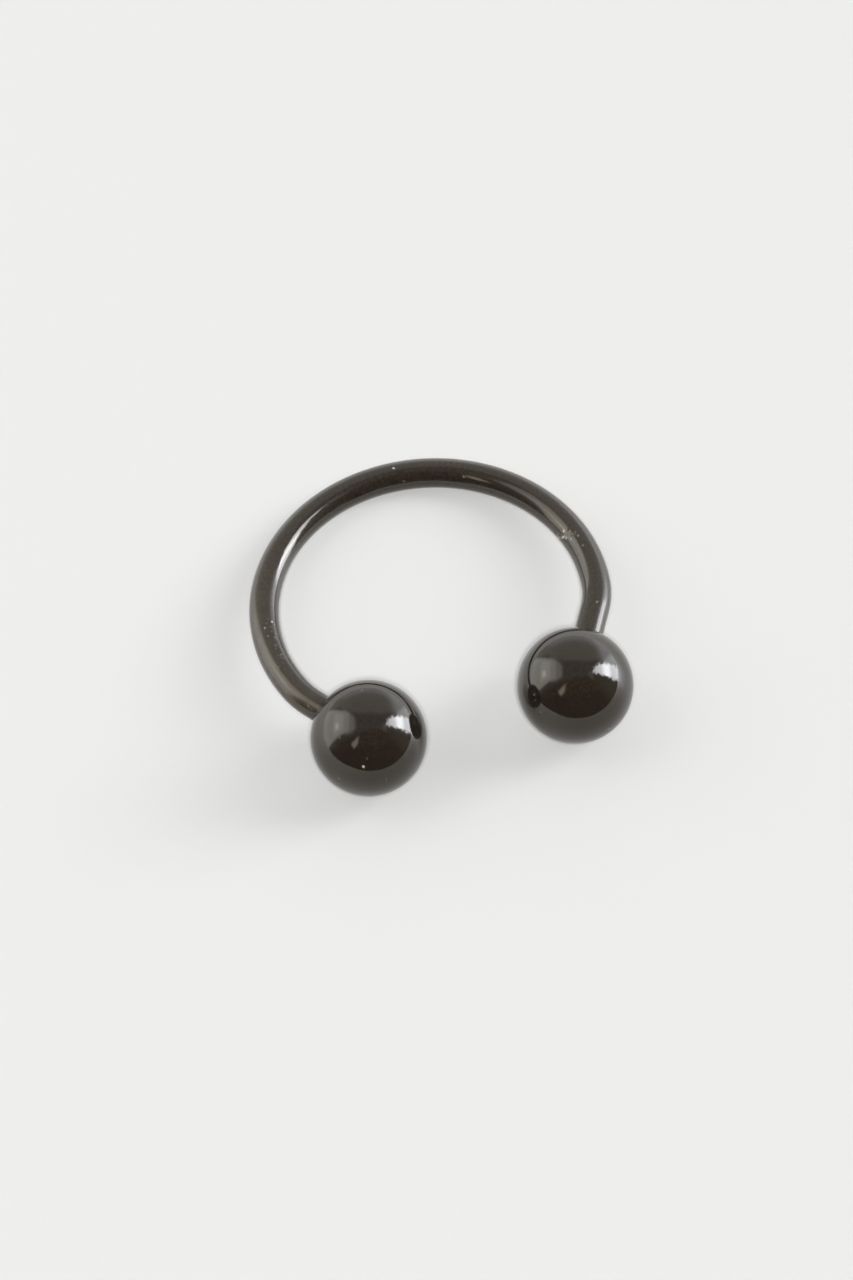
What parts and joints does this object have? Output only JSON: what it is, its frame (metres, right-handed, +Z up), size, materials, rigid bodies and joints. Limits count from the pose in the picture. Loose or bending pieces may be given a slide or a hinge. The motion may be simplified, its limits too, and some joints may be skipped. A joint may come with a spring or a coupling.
{
  "type": "septum ring",
  "caption": "Horseshoe septum ring: a black coated wire bent to an open ring with a screw-on ball on each end.",
  "frame": {"origin": "on the surface that the ring lies on, under the middle of its box", "axes": "+X from the left ball to the right ball, +Y from the opening towards the back of the ring, +Z up from the surface"},
  "size_m": [0.0122, 0.0126, 0.0039],
  "materials": {
    "black_coat": "gloss black coat on steel"
  },
  "bodies": {
    "bar": {"bar": "black_coat"},
    "left_ball": {"left_ball": "black_coat"},
    "right_ball": {"right_ball": "black_coat"}
  },
  "joints": [
    {"name": "left_ball_off", "type": "slide", "parent": "bar", "child": "left_ball", "axis": [0.5879, -0.8007, 0.1151], "range_m": [0, 0.0025]},
    {"name": "right_ball_off", "type": "slide", "parent": "bar", "child": "right_ball", "axis": [-0.4694, -0.874, 0.1256], "range_m": [0, 0.0025]}
  ]
}
